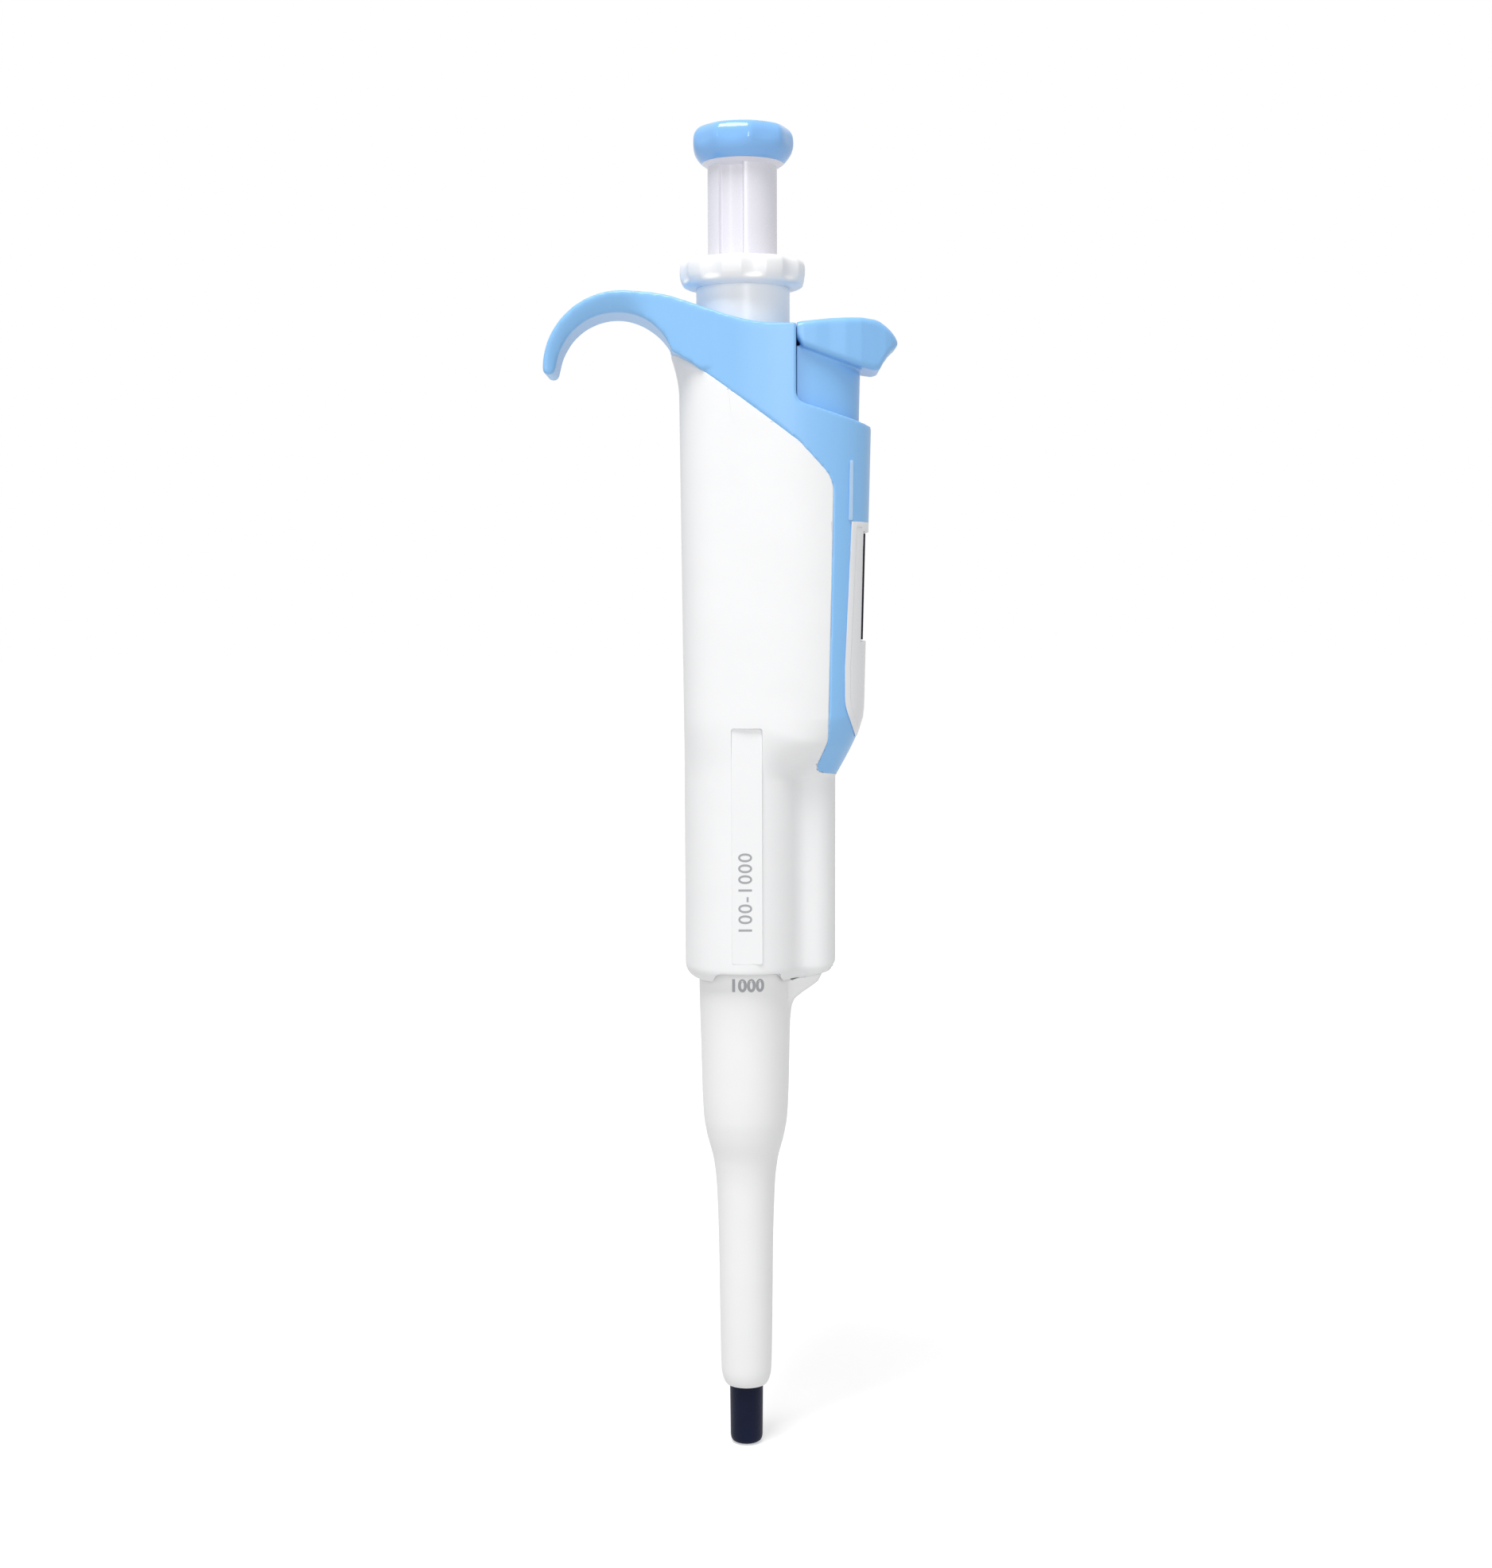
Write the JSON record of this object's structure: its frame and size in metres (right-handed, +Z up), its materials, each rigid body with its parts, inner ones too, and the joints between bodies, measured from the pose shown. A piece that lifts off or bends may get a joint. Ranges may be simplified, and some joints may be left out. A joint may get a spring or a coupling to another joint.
{
  "type": "micropipette",
  "caption": "Single-channel adjustable piston pipette with a finger hook, volume dial and counter window, plunger button, sprung tip ejector and tapered nozzle.",
  "frame": {"origin": "on the plunger's axis at the flat end of the nozzle", "axes": "+Z up the instrument along the plunger's axis to the operating button; the finger hook points to -X; the volume window and ejector button face +X; Y runs across the width"},
  "size_m": [0.0635, 0.0228, 0.2409],
  "materials": {
    "handle_shell": "satin moulded white plastic",
    "hook_body": "satin light blue plastic",
    "window_bezel": "satin light grey plastic",
    "window_lens": "clear moulded window",
    "label_insert": "matt white label",
    "lower_housing": "satin dark navy plastic",
    "coupling_nut": "satin dark navy plastic",
    "seal_holder": "moulded black plastic",
    "piston_seal": "black rubber",
    "spring_seat": "plain steel washer",
    "nut_guide": "moulded black plastic",
    "counter_bracket": "moulded black plastic",
    "bearing_plate": "moulded black plastic",
    "volume_ring": "satin white plastic",
    "screw_sleeve": "turned steel",
    "dial_gear": "moulded black plastic",
    "sleeve_clip": "spring steel",
    "dial_o_ring": "black rubber",
    "stop_nut": "turned steel",
    "button_cap": "satin light blue plastic",
    "button_stem": "satin pale lavender plastic",
    "plunger_rod": "ground steel rod",
    "stop_collar": "turned steel",
    "piston_head": "moulded navy plastic",
    "piston": "polished ceramic",
    "blow_out_washer": "plain steel washer",
    "ejector_button": "satin light blue plastic",
    "ejector_rod": "bent steel rod",
    "ejector_collar": "turned steel",
    "ejector_sleeve": "satin white plastic",
    "counter_gear": "moulded black plastic",
    "counter_shaft": "ground steel pin",
    "number_wheel_thousands": "white drum with dark digits",
    "number_wheel_hundreds": "white drum with dark digits",
    "number_wheel_tens": "white drum with dark digits",
    "number_wheel_units": "white drum with dark digits",
    "primary_spring": "spring steel wire",
    "blow_out_spring": "spring steel wire",
    "ejector_spring": "spring steel wire"
  },
  "bodies": {
    "pipette_body": {"handle_shell": "handle_shell", "hook_body": "hook_body", "window_bezel": "window_bezel", "window_lens": "window_lens", "label_insert": "label_insert", "lower_housing": "lower_housing", "coupling_nut": "coupling_nut", "seal_holder": "seal_holder", "piston_seal": "piston_seal", "spring_seat": "spring_seat", "nut_guide": "nut_guide", "counter_bracket": "counter_bracket", "bearing_plate": "bearing_plate", "primary_spring": "primary_spring", "blow_out_spring": "blow_out_spring", "ejector_spring": "ejector_spring"},
    "dial": {"volume_ring": "volume_ring", "screw_sleeve": "screw_sleeve", "dial_gear": "dial_gear", "sleeve_clip": "sleeve_clip", "dial_o_ring": "dial_o_ring"},
    "stop_nut": {"stop_nut": "stop_nut"},
    "plunger": {"button_cap": "button_cap", "button_stem": "button_stem", "plunger_rod": "plunger_rod", "stop_collar": "stop_collar", "piston_head": "piston_head", "piston": "piston"},
    "blow_out": {"blow_out_washer": "blow_out_washer"},
    "ejector": {"ejector_button": "ejector_button", "ejector_rod": "ejector_rod", "ejector_collar": "ejector_collar", "ejector_sleeve": "ejector_sleeve"},
    "counter_drive": {"counter_gear": "counter_gear", "counter_shaft": "counter_shaft", "number_wheel_units": "number_wheel_units"},
    "tens": {"number_wheel_tens": "number_wheel_tens"},
    "hundreds": {"number_wheel_hundreds": "number_wheel_hundreds"},
    "thousands": {"number_wheel_thousands": "number_wheel_thousands"}
  },
  "joints": [
    {"name": "volume_dial", "type": "hinge", "parent": "pipette_body", "child": "dial", "pos_m": [0, 0, 0.21535], "axis": [0, 0, 1], "range_deg": [-3240, 0]},
    {"name": "stop_nut_slide", "type": "slide", "parent": "pipette_body", "child": "stop_nut", "axis": [0, 0, -1], "range_m": [0, 0.01171]},
    {"name": "plunger", "type": "slide", "parent": "dial", "child": "plunger", "axis": [0, 0, -1], "range_m": [0, 0.0156], "stiffness_N_per_m": 250, "springref_m": -0.006, "deforming": ["primary_spring"]},
    {"name": "blow_out_slide", "type": "slide", "parent": "pipette_body", "child": "blow_out", "axis": [0, 0, -1], "range_m": [0, 0.00261], "deforming": ["blow_out_spring"]},
    {"name": "ejector", "type": "slide", "parent": "pipette_body", "child": "ejector", "axis": [0, 0, -1], "range_m": [0, 0.008], "stiffness_N_per_m": 300, "springref_m": -0.004, "deforming": ["ejector_spring"]},
    {"name": "counter_drive_spin", "type": "hinge", "parent": "pipette_body", "child": "counter_drive", "pos_m": [0.01275, 0, 0.15885], "axis": [0, 0, 1], "range_deg": [0, 6480.5]},
    {"name": "tens_spin", "type": "hinge", "parent": "pipette_body", "child": "tens", "pos_m": [0.01275, 0, 0.15885], "axis": [0, 0, 1], "range_deg": [0, 3240.5]},
    {"name": "hundreds_spin", "type": "hinge", "parent": "pipette_body", "child": "hundreds", "pos_m": [0.01275, 0, 0.15885], "axis": [0, 0, 1], "range_deg": [0, 324.5]},
    {"name": "thousands_spin", "type": "hinge", "parent": "pipette_body", "child": "thousands", "pos_m": [0.01275, 0, 0.15885], "axis": [0, 0, 1], "range_deg": [0, 32.9]}
  ],
  "couplings": [
    {"joint": "stop_nut_slide", "follows": "volume_dial", "m_per_rad": -0.0002069},
    {"joint": "blow_out_slide", "follows": "plunger", "ratio": 0.16667},
    {"joint": "counter_drive_spin", "follows": "volume_dial", "ratio": -2},
    {"joint": "tens_spin", "follows": "volume_dial", "ratio": -1},
    {"joint": "hundreds_spin", "follows": "volume_dial", "ratio": -0.1},
    {"joint": "thousands_spin", "follows": "volume_dial", "ratio": -0.01}
  ]
}
